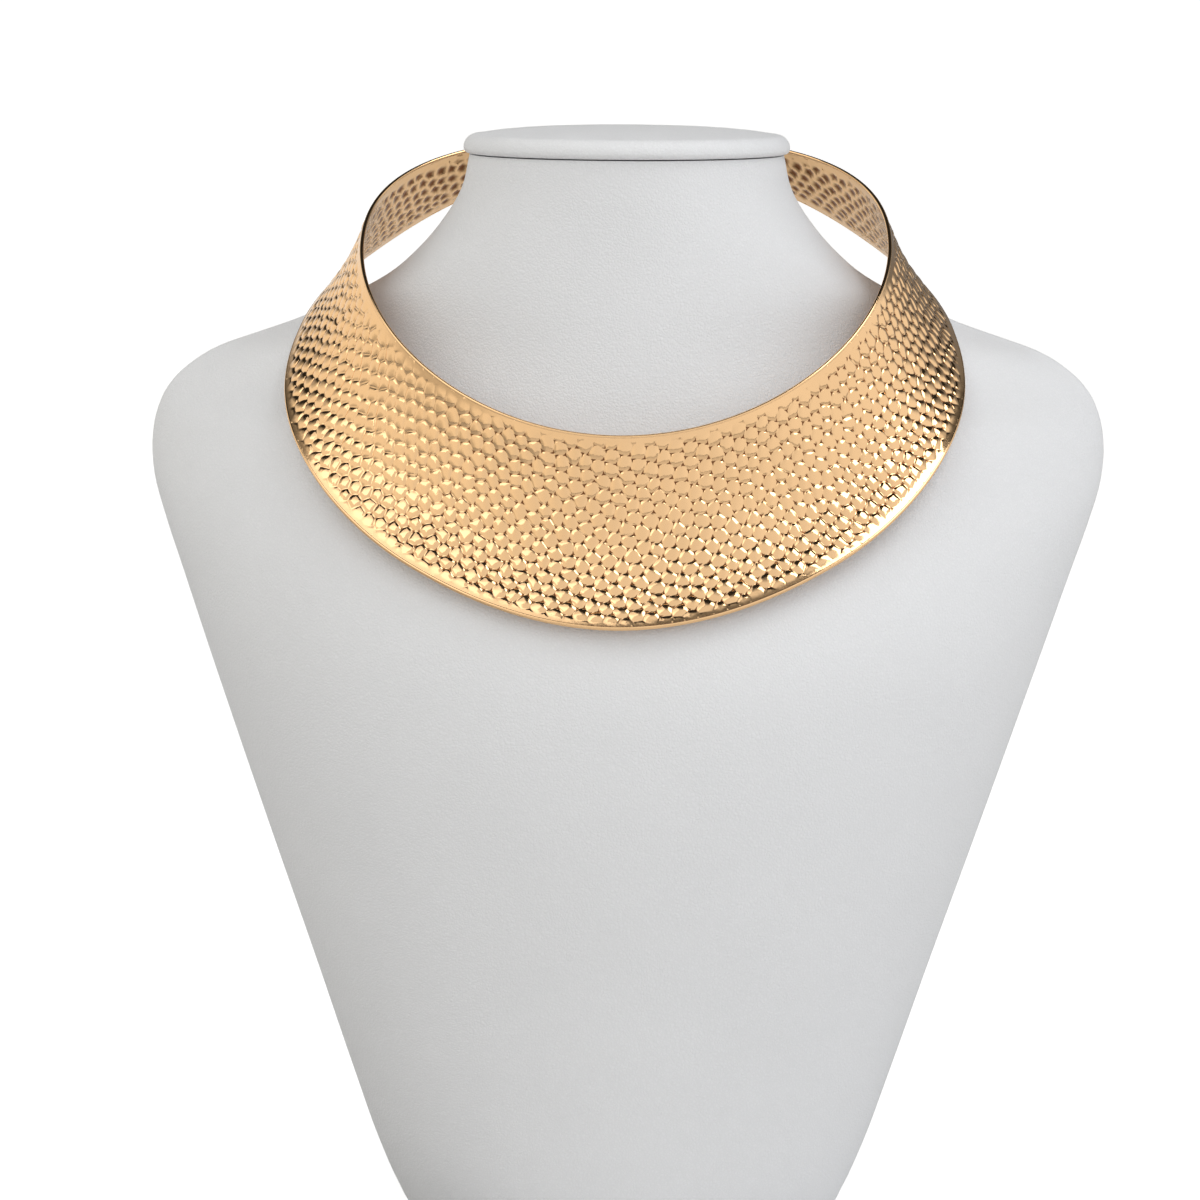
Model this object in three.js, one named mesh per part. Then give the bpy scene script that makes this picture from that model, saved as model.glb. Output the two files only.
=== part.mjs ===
// A hammered collar choker necklace worn by a padded neck bust.
// Millimetres. +Z is up, the front of the bust faces -Y, and the middle of its flat underside is the origin.
// The hammer marks are far finer than these walls, so the collar here is its smooth sheet.
import * as THREE from "three";

const GAP = 0.3; // between the neck and the cap that closes it

// Neck bust, from its flat underside to the top of the neck.
const BUST_HEIGHT = 249;
const BUST_SEGMENTS = 48; // around each ring
const RINGS_PER_ROW = 2; // rings lofted from each row to the next
const SIDE_ROUND = 0.15; // share of a plain ellipse kept in each level, which rounds its sides

// Cap: a padded disc on top of the neck.
const CAP_HALF_WIDTH = 37.6;
const CAP_FRONT = -37.2;
const CAP_BACK = 40.2;
const CAP_HEIGHT = 6.2;
const CAP_SEGMENTS = 36;

// Collar: a sheet bent round the neck, open at the nape.
const RIM_HALF_WIDTH = 60.5;
const RIM_FRONT_DEPTH = 64;
const RIM_BACK_DEPTH = 55.5;
const RIM_BACK_POWER = 2.2; // over 2 squares the back of the rim a little
const RIM_SIDE_RISE = 7.7; // how far the rim's sides stand above its own plane
const COLLAR_TILT = 31.5; // degrees, front down
const COLLAR_HEIGHT = 222.6; // of the rim's middle
const OPEN_ANGLE = 20; // degrees left open on each side of the nape
const END_ROUND_ANGLE = 4; // degrees over which each end is rounded off
const END_LEAST_WIDTH = 0.3; // share of the band's width left on its very end
const COLLAR_STATIONS = 50;
const SHEET = 1; // thickness of the sheet
const RIM_BEAD = 1.5; // thickness of the bead along each edge
const BEAD_WIDTH = 1.5;
const WALL_STEPS = 6; // across the band, between the beads

// Each row is one level of the bust. tip is 1 for an elliptical front and more for one that thins to the
// sides; flat is 1 for an elliptical back and less for a flatter one.
const BUST_ROWS = [
  { z: 0, half: 43.6, front: -33, back: 26, middle: -3, tip: 1, flat: 1 },
  { z: 1.2, half: 46.2, front: -35.5, back: 28.4, middle: -3, tip: 1, flat: 1 },
  { z: 4, half: 49.3, front: -38.8, back: 31, middle: -2.5, tip: 1, flat: 1 },
  { z: 9, half: 52.2, front: -42.6, back: 33.2, middle: -2, tip: 1, flat: 1 },
  { z: 19, half: 56.7, front: -48.5, back: 36, middle: -1, tip: 1, flat: 0.98 },
  { z: 35, half: 62.5, front: -55.5, back: 39, middle: 0.5, tip: 1, flat: 0.94 },
  { z: 60, half: 71.2, front: -63.5, back: 42, middle: 3, tip: 1, flat: 0.9 },
  { z: 90, half: 81.9, front: -70, back: 44, middle: 6, tip: 1, flat: 0.85 },
  { z: 118, half: 91.8, front: -73, back: 45.5, middle: 9, tip: 1, flat: 0.8 },
  { z: 140, half: 99.7, front: -71.2, back: 46.3, middle: 12, tip: 1.06, flat: 0.77 },
  { z: 152, half: 104.1, front: -66.9, back: 46.6, middle: 14.5, tip: 1.14, flat: 0.75 },
  { z: 163, half: 108.2, front: -60.1, back: 46.7, middle: 17, tip: 1.24, flat: 0.74 },
  { z: 173, half: 111.3, front: -52.6, back: 46.6, middle: 20, tip: 1.42, flat: 0.73 },
  { z: 182, half: 111.9, front: -46.6, back: 46.4, middle: 22.5, tip: 1.65, flat: 0.72 },
  { z: 188, half: 110.8, front: -43.7, back: 46, middle: 24, tip: 1.85, flat: 0.72 },
  { z: 193, half: 108.5, front: -42, back: 45.6, middle: 25.5, tip: 2.25, flat: 0.72 },
  { z: 198, half: 103.7, front: -40.8, back: 45.2, middle: 26.5, tip: 2.6, flat: 0.72 },
  { z: 202.5, half: 96.3, front: -39.9, back: 44.6, middle: 26.8, tip: 2.7, flat: 0.73 },
  { z: 206, half: 86.6, front: -39.4, back: 44.1, middle: 25.8, tip: 2.5, flat: 0.75 },
  { z: 209, half: 78.3, front: -39, back: 43.6, middle: 23.3, tip: 2.1, flat: 0.78 },
  { z: 212, half: 71.8, front: -38.6, back: 43.1, middle: 19.3, tip: 1.75, flat: 0.82 },
  { z: 216, half: 63.7, front: -38.2, back: 42.5, middle: 14.8, tip: 1.45, flat: 0.88 },
  { z: 221, half: 55.1, front: -37.7, back: 41.8, middle: 10, tip: 1.22, flat: 0.94 },
  { z: 227, half: 48.2, front: -37.2, back: 41.1, middle: 6, tip: 1.08, flat: 0.98 },
  { z: 234, half: 42.3, front: -36.8, back: 40.5, middle: 3.4, tip: 1.02, flat: 1 },
  { z: 241, half: 38.1, front: -36.5, back: 40, middle: 2.2, tip: 1, flat: 1 },
  { z: BUST_HEIGHT, half: 36.2, front: -36, back: 39.2, middle: 1.6, tip: 1, flat: 1 },
];

// Rounded edge and low dome of the cap: height above its underside, and how far it draws in.
const CAP_ROWS = [
  { z: 0, inset: 1.1 },
  { z: 0.35, inset: 0.45 },
  { z: 1.1, inset: 0.05 },
  { z: 2, inset: 0 },
  { z: 3.1, inset: 0.4 },
  { z: 4, inset: 1.4 },
  { z: 4.7, inset: 3.2 },
  { z: 5.3, inset: 7 },
  { z: 5.75, inset: 13 },
  { z: 6.05, inset: 22 },
];

// The band by angle from the front: its width, and its lean from upright at the rim and the lower edge.
const BAND_ROWS = [
  { angle: 0, width: 46, rimLean: 35, edgeLean: 75 },
  { angle: 30, width: 41, rimLean: 33, edgeLean: 72 },
  { angle: 60, width: 34.5, rimLean: 31, edgeLean: 62 },
  { angle: 90, width: 30, rimLean: 19, edgeLean: 44 },
  { angle: 120, width: 25, rimLean: 6, edgeLean: 31 },
  { angle: 160, width: 13.5, rimLean: 6, edgeLean: 30 },
];

const radians = (degrees) => THREE.MathUtils.degToRad(degrees);

// The slope of one column at row i of a table.
function slopeAt(rows, key, column, i) {
  const slope = (a, b) => (rows[b][column] - rows[a][column]) / (rows[b][key] - rows[a][key]);
  if (i === 0) {
    return slope(0, 1);
  }
  if (i === rows.length - 1) {
    return slope(i - 1, i);
  }
  const before = rows[i][key] - rows[i - 1][key];
  const after = rows[i + 1][key] - rows[i][key];
  return (slope(i, i + 1) * before + slope(i - 1, i) * after) / (before + after);
}

// A smooth reading of one column between the rows of a table.
function between(rows, key, column, at, levelStart = false) {
  let i = rows.findIndex((row) => row[key] >= at) - 1;
  i = THREE.MathUtils.clamp(i, 0, rows.length - 2);
  const span = rows[i + 1][key] - rows[i][key];
  const t = (at - rows[i][key]) / span;
  const startSlope = levelStart && i === 0 ? 0 : slopeAt(rows, key, column, i);
  const endSlope = slopeAt(rows, key, column, i + 1);
  const t2 = t * t;
  const t3 = t2 * t;
  const start = (2 * t3 - 3 * t2 + 1) * rows[i][column];
  const end = (3 * t2 - 2 * t3) * rows[i + 1][column];
  return start + end + (t3 - 2 * t2 + t) * span * startSlope + (t3 - t2) * span * endSlope;
}

// A closed skin over equal rings of points. Each ring runs anticlockwise seen from the last ring.
function skin(rings) {
  const count = rings[0].length;
  const positions = rings.flat().flatMap((p) => [p.x, p.y, p.z]);
  const faces = [];
  for (let r = 0; r + 1 < rings.length; r++) {
    for (let i = 0; i < count; i++) {
      const a = r * count + i;
      const b = r * count + ((i + 1) % count);
      faces.push(a, b, b + count, a, b + count, a + count);
    }
  }
  const middle = (ring) => ring.reduce((sum, p) => sum.add(p), new THREE.Vector3()).divideScalar(count);
  const first = middle(rings[0]);
  const last = middle(rings[rings.length - 1]);
  positions.push(first.x, first.y, first.z, last.x, last.y, last.z);
  const firstIndex = rings.length * count;
  const top = firstIndex - count;
  for (let i = 0; i < count; i++) {
    const next = (i + 1) % count;
    faces.push(firstIndex, next, i, firstIndex + 1, top + i, top + next);
  }
  const geometry = new THREE.BufferGeometry();
  geometry.setAttribute("position", new THREE.Float32BufferAttribute(positions, 3));
  geometry.setIndex(faces);
  return geometry;
}

// How far round a level has come from its side, 0 to 1, with the side itself kept round.
function fromSide(cosine, power) {
  return (1 - SIDE_ROUND) * cosine ** power + SIDE_ROUND * cosine;
}

// One level ring: half its width, its front and back, the line its sides lie on, and the two powers.
function levelRing({ z, half, front, back, middle, tip, flat }, segments) {
  const ring = [];
  for (let i = 0; i < segments; i++) {
    const turn = (i / segments) * Math.PI * 2;
    const facing = Math.cos(turn);
    const share = fromSide(Math.abs(facing), facing > 0 ? tip : flat);
    const depth = facing > 0 ? (front - middle) * share : (back - middle) * share;
    ring.push(new THREE.Vector3(half * Math.sin(turn), middle + depth, z));
  }
  return ring;
}

function bustRings() {
  const levels = [];
  for (let i = 0; i + 1 < BUST_ROWS.length; i++) {
    for (let s = 0; s < RINGS_PER_ROW; s++) {
      const share = s / RINGS_PER_ROW;
      levels.push(BUST_ROWS[i].z * (1 - share) + BUST_ROWS[i + 1].z * share);
    }
  }
  levels.push(BUST_HEIGHT);
  const columns = ["half", "front", "back", "middle", "tip", "flat"];
  return levels.map((z) => {
    const level = { z };
    columns.forEach((column) => {
      level[column] = between(BUST_ROWS, "z", column, z);
    });
    return levelRing(level, BUST_SEGMENTS);
  });
}

function bustBody() {
  return skin(bustRings());
}

function neckCap() {
  const underside = BUST_HEIGHT + GAP;
  const middle = (CAP_FRONT + CAP_BACK) / 2;
  const rings = CAP_ROWS.map(({ z, inset }) => {
    const half = CAP_HALF_WIDTH - inset;
    const front = CAP_FRONT + inset;
    const back = CAP_BACK - inset;
    return levelRing({ z: underside + z, half, front, back, middle, tip: 1, flat: 1 }, CAP_SEGMENTS);
  });
  const crown = rings[rings.length - 1].map((p) => {
    const inward = p.clone().lerp(new THREE.Vector3(0, middle, p.z), 0.6);
    return inward.setZ(underside + CAP_HEIGHT);
  });
  return skin([...rings, crown]);
}

// The rim's own curve, in the collar's frame before it is tilted.
function rimPoint(angle) {
  const side = Math.sin(radians(angle));
  const front = Math.cos(radians(angle));
  const power = front > 0 ? 1 : 2 / RIM_BACK_POWER;
  const depth = front > 0 ? RIM_FRONT_DEPTH : RIM_BACK_DEPTH;
  const x = RIM_HALF_WIDTH * Math.sign(side) * Math.abs(side) ** power;
  const y = -depth * Math.sign(front) * Math.abs(front) ** power;
  return new THREE.Vector3(x, y, RIM_SIDE_RISE * side * side);
}

// The level direction square to the rim, pointing away from the neck.
function rimOutward(angle) {
  const step = 0.5;
  const along = rimPoint(angle + step).sub(rimPoint(angle - step));
  return new THREE.Vector3(along.y, -along.x, 0).normalize();
}

// The middle of the sheet at one angle: points down the band, each with its square direction.
function bandLine(angle) {
  const at = Math.abs(angle);
  const read = (column) => between(BAND_ROWS, "angle", column, at, true);
  const width = read("width");
  const rimLean = read("rimLean");
  const edgeLean = read("edgeLean");
  const outward = rimOutward(angle);
  return { width, rimLean, edgeLean, outward, start: rimPoint(angle) };
}

function bandPoint(line, distance) {
  const steps = 12;
  const point = line.start.clone();
  for (let i = 0; i < steps; i++) {
    const share = (distance / line.width) * ((i + 0.5) / steps);
    const lean = radians(line.rimLean + (line.edgeLean - line.rimLean) * share);
    point.addScaledVector(line.outward, (Math.sin(lean) * distance) / steps);
    point.z -= (Math.cos(lean) * distance) / steps;
  }
  return point;
}

function bandSquare(line, distance) {
  const share = distance / line.width;
  const lean = radians(line.rimLean + (line.edgeLean - line.rimLean) * share);
  const square = line.outward.clone().multiplyScalar(Math.cos(lean));
  return square.setZ(Math.sin(lean));
}

// Distances down the band from its upper edge, with half the thickness there.
function wallSteps(width) {
  const bead = Math.min(BEAD_WIDTH, width * 0.3);
  const beadHalf = RIM_BEAD / 2;
  const sheetHalf = SHEET / 2;
  const inner = (width - 2 * bead) / WALL_STEPS;
  const top = [
    { down: 0, half: beadHalf * 0.45 },
    { down: bead * 0.18, half: beadHalf * 0.85 },
    { down: bead * 0.5, half: beadHalf },
    { down: bead * 0.85, half: beadHalf * 0.85 },
  ];
  const wall = [];
  for (let i = 0; i <= WALL_STEPS; i++) {
    wall.push({ down: bead + inner * i, half: sheetHalf });
  }
  const foot = top.map(({ down, half }) => ({ down: width - down, half })).reverse();
  return [...top, ...wall, ...foot];
}

// Share of the band's width kept at an angle: all of it, but for the rounded ends.
function keptWidth(angle) {
  const toEnd = 180 - OPEN_ANGLE - Math.abs(angle);
  const share = THREE.MathUtils.clamp(1 - toEnd / END_ROUND_ANGLE, 0, 1);
  return END_LEAST_WIDTH + (1 - END_LEAST_WIDTH) * Math.sqrt(1 - share * share);
}

// One ring of the collar: down the outer face of the sheet and back up the inner face.
function collarRing(angle) {
  const line = bandLine(angle);
  const kept = line.width * keptWidth(angle);
  const lost = (line.width - kept) / 2;
  const steps = wallSteps(kept);
  const face = (sign) => (step) => {
    const point = bandPoint(line, lost + step.down);
    return point.addScaledVector(bandSquare(line, lost + step.down), sign * step.half);
  };
  return [...steps.map(face(1)), ...steps.map(face(-1)).reverse()];
}

// Angles of the rings, closer together where the ends are rounded.
function collarAngles() {
  const last = 180 - OPEN_ANGLE;
  const main = last - END_ROUND_ANGLE;
  const angles = [];
  for (let i = 0; i <= COLLAR_STATIONS; i++) {
    angles.push(-main + (2 * main * i) / COLLAR_STATIONS);
  }
  const ends = [0.35, 0.65, 0.88, 1].map((share) => main + END_ROUND_ANGLE * share);
  return [...ends.map((angle) => -angle).reverse(), ...angles, ...ends];
}

function collar() {
  const geometry = skin(collarAngles().map(collarRing));
  geometry.rotateX(radians(COLLAR_TILT));
  geometry.translate(0, 0, COLLAR_HEIGHT);
  return geometry;
}

function named(name, geometry, look) {
  geometry.computeVertexNormals();
  const mesh = new THREE.Mesh(geometry, new THREE.MeshStandardMaterial(look));
  mesh.name = name;
  return mesh;
}

const gold = { color: 0xd9a566, roughness: 0.22, metalness: 1 };
const leatherette = { color: 0xd8d6d4, roughness: 0.62, metalness: 0 };

const necklaceOnBust = new THREE.Group();
necklaceOnBust.name = "collar_on_bust";
necklaceOnBust.add(named("collar", collar(), gold));
necklaceOnBust.add(named("bust_body", bustBody(), leatherette));
necklaceOnBust.add(named("neck_cap", neckCap(), leatherette));

export default necklaceOnBust;
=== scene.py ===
"""Hammered collar choker necklace on a neck bust, modelled and lit as a Blender add-on."""

import math
import random
import bpy
from bpy.props import FloatProperty, FloatVectorProperty, IntProperty, PointerProperty
from mathutils import Matrix, Vector
from mathutils.geometry import delaunay_2d_cdt


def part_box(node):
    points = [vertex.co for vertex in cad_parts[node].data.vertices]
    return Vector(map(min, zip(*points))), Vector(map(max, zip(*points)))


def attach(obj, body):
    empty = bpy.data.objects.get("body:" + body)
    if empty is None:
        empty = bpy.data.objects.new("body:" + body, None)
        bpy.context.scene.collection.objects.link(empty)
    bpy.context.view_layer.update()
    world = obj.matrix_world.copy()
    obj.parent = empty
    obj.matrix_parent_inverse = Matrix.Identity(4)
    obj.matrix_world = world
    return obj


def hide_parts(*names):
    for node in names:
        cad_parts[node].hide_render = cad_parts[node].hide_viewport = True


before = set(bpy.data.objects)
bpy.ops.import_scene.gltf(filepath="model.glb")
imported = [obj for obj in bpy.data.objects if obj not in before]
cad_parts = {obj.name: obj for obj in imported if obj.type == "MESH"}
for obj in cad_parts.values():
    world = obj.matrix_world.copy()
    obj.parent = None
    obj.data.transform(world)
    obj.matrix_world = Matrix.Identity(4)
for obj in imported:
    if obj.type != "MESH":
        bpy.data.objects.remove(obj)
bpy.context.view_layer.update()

bl_info = {
    "name": "Hammered Collar On Bust",
    "version": (1, 0, 0),
    "blender": (4, 5, 0),
    "location": "View3D > Sidebar > Collar",
    "description": "Builds a hammered collar choker, its neck bust and a plain studio",
    "category": "Object",
}

MM = 0.001

GOLD = "hammered_gold"
# The frame has a material named leatherette already, so the grained one needs a name of its own.
LEATHERETTE = "grained_leatherette"

# The band by angle from the front: its width, and its lean from upright at the rim and the lower edge.
BAND_ROWS = [
    {"angle": 0, "width": 46, "rim_lean": 35, "edge_lean": 75},
    {"angle": 30, "width": 41, "rim_lean": 33, "edge_lean": 72},
    {"angle": 60, "width": 34.5, "rim_lean": 31, "edge_lean": 62},
    {"angle": 90, "width": 30, "rim_lean": 19, "edge_lean": 44},
    {"angle": 120, "width": 25, "rim_lean": 6, "edge_lean": 31},
    {"angle": 160, "width": 13.5, "rim_lean": 6, "edge_lean": 30},
]

# The bust's levels: half its width, its front and back, the line its sides lie on, and two powers.
BUST_COLUMNS = ("z", "half", "front", "back", "middle", "tip", "flat")
BUST_LEVELS = [
    (0, 43.6, -33, 26, -3, 1, 1),
    (1.2, 46.2, -35.5, 28.4, -3, 1, 1),
    (4, 49.3, -38.8, 31, -2.5, 1, 1),
    (9, 52.2, -42.6, 33.2, -2, 1, 1),
    (19, 56.7, -48.5, 36, -1, 1, 0.98),
    (35, 62.5, -55.5, 39, 0.5, 1, 0.94),
    (60, 71.2, -63.5, 42, 3, 1, 0.9),
    (90, 81.9, -70, 44, 6, 1, 0.85),
    (118, 91.8, -73, 45.5, 9, 1, 0.8),
    (140, 99.7, -71.2, 46.3, 12, 1.06, 0.77),
    (152, 104.1, -66.9, 46.6, 14.5, 1.14, 0.75),
    (163, 108.2, -60.1, 46.7, 17, 1.24, 0.74),
    (173, 111.3, -52.6, 46.6, 20, 1.42, 0.73),
    (182, 111.9, -46.6, 46.4, 22.5, 1.65, 0.72),
    (188, 110.8, -43.7, 46, 24, 1.85, 0.72),
    (193, 108.5, -42, 45.6, 25.5, 2.25, 0.72),
    (198, 103.7, -40.8, 45.2, 26.5, 2.6, 0.72),
    (202.5, 96.3, -39.9, 44.6, 26.8, 2.7, 0.73),
    (206, 86.6, -39.4, 44.1, 25.8, 2.5, 0.75),
    (209, 78.3, -39, 43.6, 23.3, 2.1, 0.78),
    (212, 71.8, -38.6, 43.1, 19.3, 1.75, 0.82),
    (216, 63.7, -38.2, 42.5, 14.8, 1.45, 0.88),
    (221, 55.1, -37.7, 41.8, 10, 1.22, 0.94),
    (227, 48.2, -37.2, 41.1, 6, 1.08, 0.98),
    (234, 42.3, -36.8, 40.5, 3.4, 1.02, 1),
    (241, 38.1, -36.5, 40, 2.2, 1, 1),
    (249, 36.2, -36, 39.2, 1.6, 1, 1),
]
BUST_ROWS = [dict(zip(BUST_COLUMNS, row)) for row in BUST_LEVELS]
SIDE_ROUND = 0.15

# The collar's own frame, before it is tilted onto the bust.
RIM_HALF_WIDTH = 60.5
RIM_FRONT_DEPTH = 64
RIM_BACK_DEPTH = 55.5
RIM_BACK_POWER = 2.2
RIM_SIDE_RISE = 7.7
COLLAR_TILT = math.radians(31.5)
COLLAR_HEIGHT = 222.6
END_ANGLE = 160  # degrees from the front to each end
END_ROUND_ANGLE = 4
END_LEAST_WIDTH = 0.3


# ---------------------------------------------------------------- smooth tables and the collar's surface


def slope_at(rows, key, column, i):
    """The slope of one column of a table at row i."""

    def slope(a, b):
        return (rows[b][column] - rows[a][column]) / (rows[b][key] - rows[a][key])

    if i == 0:
        return slope(0, 1)
    if i == len(rows) - 1:
        return slope(i - 1, i)
    before = rows[i][key] - rows[i - 1][key]
    after = rows[i + 1][key] - rows[i][key]
    return (slope(i, i + 1) * before + slope(i - 1, i) * after) / (before + after)


def between(rows, key, column, at, level_start=False):
    """A smooth reading of one column between the rows of a table."""
    i = 0
    while i < len(rows) - 2 and rows[i + 1][key] < at:
        i += 1
    span = rows[i + 1][key] - rows[i][key]
    t = (at - rows[i][key]) / span
    start = 0 if level_start and i == 0 else slope_at(rows, key, column, i)
    end = slope_at(rows, key, column, i + 1)
    low, high = rows[i][column], rows[i + 1][column]
    t2, t3 = t * t, t * t * t
    return (
        (2 * t3 - 3 * t2 + 1) * low
        + (3 * t2 - 2 * t3) * high
        + (t3 - 2 * t2 + t) * span * start
        + (t3 - t2) * span * end
    )


def rim_point(angle):
    """A point of the rim's own curve, in millimetres."""
    side = math.sin(math.radians(angle))
    front = math.cos(math.radians(angle))
    power = 1 if front > 0 else 2 / RIM_BACK_POWER
    depth = RIM_FRONT_DEPTH if front > 0 else RIM_BACK_DEPTH
    x = RIM_HALF_WIDTH * math.copysign(abs(side) ** power, side)
    y = -depth * math.copysign(abs(front) ** power, front)
    return Vector((x, y, RIM_SIDE_RISE * side * side))


class Band:
    """The collar's sheet at one angle from the front."""

    def __init__(self, angle):
        at = abs(angle)
        self.width = between(BAND_ROWS, "angle", "width", at, True)
        self.rim_lean = math.radians(between(BAND_ROWS, "angle", "rim_lean", at, True))
        self.edge_lean = math.radians(between(BAND_ROWS, "angle", "edge_lean", at, True))
        self.start = rim_point(angle)
        along = rim_point(angle + 0.5) - rim_point(angle - 0.5)
        self.along = along.normalized()
        self.outward = Vector((along.y, -along.x, 0)).normalized()

    def lean(self, down):
        return self.rim_lean + (self.edge_lean - self.rim_lean) * down / self.width

    def point(self, down):
        """The middle of the sheet at a distance down from its upper edge."""
        turn = (self.edge_lean - self.rim_lean) / self.width
        lean = self.lean(down)
        out = (math.cos(self.rim_lean) - math.cos(lean)) / turn
        drop = (math.sin(lean) - math.sin(self.rim_lean)) / turn
        return self.start + self.outward * out - Vector((0, 0, drop))

    def square(self, down):
        """The direction square to the sheet, away from the neck."""
        lean = self.lean(down)
        return self.outward * math.cos(lean) + Vector((0, 0, math.sin(lean)))


def arc_table(steps=640):
    """Pairs of angle and length along the band's middle line, zero at the front."""
    angles = [END_ANGLE * i / steps for i in range(steps + 1)]
    lengths = [0.0]
    last = Band(0).point(Band(0).width / 2)
    for angle in angles[1:]:
        band = Band(angle)
        here = band.point(band.width / 2)
        lengths.append(lengths[-1] + (here - last).length)
        last = here
    return angles, lengths


class Collar:
    """Turns places on the flat pattern of the sheet into places on the bent collar.

    The pattern is a crescent: along is the length round the band's middle line, and across is the
    distance down from that line. Marks are laid out on it as the sheet was hammered, flat."""

    MIDDLE_RADIUS = 103

    def __init__(self):
        self.angles, self.lengths = arc_table()
        self.half_length = self.lengths[-1]
        self.bands = {}

    def angle(self, along):
        length = min(abs(along), self.half_length)
        low, high = 0, len(self.lengths) - 1
        while high - low > 1:
            middle = (low + high) // 2
            if self.lengths[middle] < length:
                low = middle
            else:
                high = middle
        share = (length - self.lengths[low]) / (self.lengths[high] - self.lengths[low])
        angle = self.angles[low] + (self.angles[high] - self.angles[low]) * share
        return math.copysign(angle, along)

    def band(self, along):
        key = round(along, 3)
        if key not in self.bands:
            self.bands[key] = Band(self.angle(key))
        return self.bands[key]

    def half_width(self, along):
        """Half the band's width, drawn in to a round at each end."""
        angle = abs(self.angle(along))
        share = min(max(1 - (END_ANGLE - angle) / END_ROUND_ANGLE, 0), 1)
        kept = END_LEAST_WIDTH + (1 - END_LEAST_WIDTH) * math.sqrt(1 - share * share)
        return self.band(along).width / 2 * kept

    def margin(self, along, across):
        """How far inside the sheet's outline a place is, in millimetres, below 0 outside."""
        return min(self.half_width(along) - abs(across), self.half_length - abs(along))

    def flat(self, along, across):
        """A place on the crescent laid flat."""
        radius = self.MIDDLE_RADIUS + across
        turn = along / self.MIDDLE_RADIUS
        return Vector((radius * math.sin(turn), radius * math.cos(turn)))

    def unflat(self, place):
        turn = math.atan2(place.x, place.y)
        return turn * self.MIDDLE_RADIUS, place.length - self.MIDDLE_RADIUS

    def place(self, along, across, height):
        """The bent collar's point at a height above the middle of the sheet, in metres."""
        band = self.band(along)
        down = band.width / 2 + across
        point = band.point(down) + band.square(down) * height
        tilted = Matrix.Rotation(COLLAR_TILT, 3, "X") @ point
        return (tilted + Vector((0, 0, COLLAR_HEIGHT))) * MM


# ---------------------------------------------------------------- hammer marks

LATTICE_TURN = 19  # degrees between the honeycomb's rows and the front of the flat sheet
DRIFT = 0.9  # how far the honeycomb's rows wander
BORDER = 0.5  # the hammered sheet ends this far inside its outline, in the middle of the bead
SHEET_HALF = 0.45  # half the thickness of the sheet, in millimetres
CELL_REACH = 6  # a mark whose junctions lie further off than this is on the lattice's edge


def hammer_centres(collar, size, jitter, seed):
    """Centres of the hammer marks: a honeycomb on the flat sheet, drifting slowly, each mark a little off."""
    draw = random.Random(seed)
    reach = collar.MIDDLE_RADIUS + 30
    turn = Matrix.Rotation(math.radians(LATTICE_TURN), 2)
    rise = size * math.sqrt(3) / 2
    rows = int(1.5 * reach / rise)
    centres = []
    for row in range(-rows, rows + 1):
        for step in range(-int(1.5 * reach / size), int(1.5 * reach / size)):
            place = turn @ Vector(((step + 0.5 * (row % 2)) * size, row * rise))
            drift = Vector((math.sin(place.y / 9.0 + 0.7), math.sin(place.x / 11.0 + 2.1))) * DRIFT
            stray = Vector((draw.uniform(-jitter, jitter), draw.uniform(-jitter, jitter))) * size
            place += drift + stray
            along, across = collar.unflat(place)
            if abs(along) < collar.half_length + 8 and abs(across) < 30:
                centres.append(place)
    return centres


def circumcentre(a, b, c):
    """The point at equal distance from three marks, where their ridges meet."""
    d = 2 * (a.x * (b.y - c.y) + b.x * (c.y - a.y) + c.x * (a.y - b.y))
    aa, bb, cc = a.length_squared, b.length_squared, c.length_squared
    x = (aa * (b.y - c.y) + bb * (c.y - a.y) + cc * (a.y - b.y)) / d
    y = (aa * (c.x - b.x) + bb * (a.x - c.x) + cc * (b.x - a.x)) / d
    return Vector((x, y))


def hammer_cells(centres):
    """For each mark, the ring of junctions round it: a list of (centre, [(junction number, place)])."""
    result = delaunay_2d_cdt(centres, [], [], 0, 1e-6)
    triangles = result[2]
    junctions = []
    around = {}
    for number, (a, b, c) in enumerate(triangles):
        corners = [result[0][a], result[0][b], result[0][c]]
        junctions.append(circumcentre(*corners))
        for corner in (a, b, c):
            around.setdefault(corner, []).append(number)
    cells = []
    for corner, numbers in around.items():
        centre = result[0][corner]
        if len(numbers) < 4:
            continue
        if max((junctions[n] - centre).length for n in numbers) > CELL_REACH:
            continue

        def turn(n, centre=centre):
            away = junctions[n] - centre
            return math.atan2(away.y, away.x)

        ring = sorted(numbers, key=turn)
        cells.append((centre, [(("j", n), junctions[n]) for n in ring]))
    return cells


def crossing(collar, inside, outside):
    """Where the line between two places leaves the sheet."""
    low, high = inside, outside
    for _ in range(18):
        middle = (low + high) / 2
        if collar.margin(*collar.unflat(middle)) > BORDER:
            low = middle
        else:
            high = middle
    return (low + high) / 2


def trimmed(collar, ring):
    """A cell's ring cut off at the sheet's border, or None where it is all outside."""
    inside = [collar.margin(*collar.unflat(place)) > BORDER for _, place in ring]
    if not any(inside):
        return None
    if all(inside):
        return ring
    kept = []
    for i, (key, place) in enumerate(ring):
        after = (i + 1) % len(ring)
        if inside[i]:
            kept.append((key, place))
        if inside[i] != inside[after]:
            other_key, other = ring[after]
            ends = (place, other) if inside[i] else (other, place)
            cut_key = ("c",) + tuple(sorted((key, other_key)))
            kept.append((cut_key, crossing(collar, *ends)))
    return kept if len(kept) > 2 else None


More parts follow.
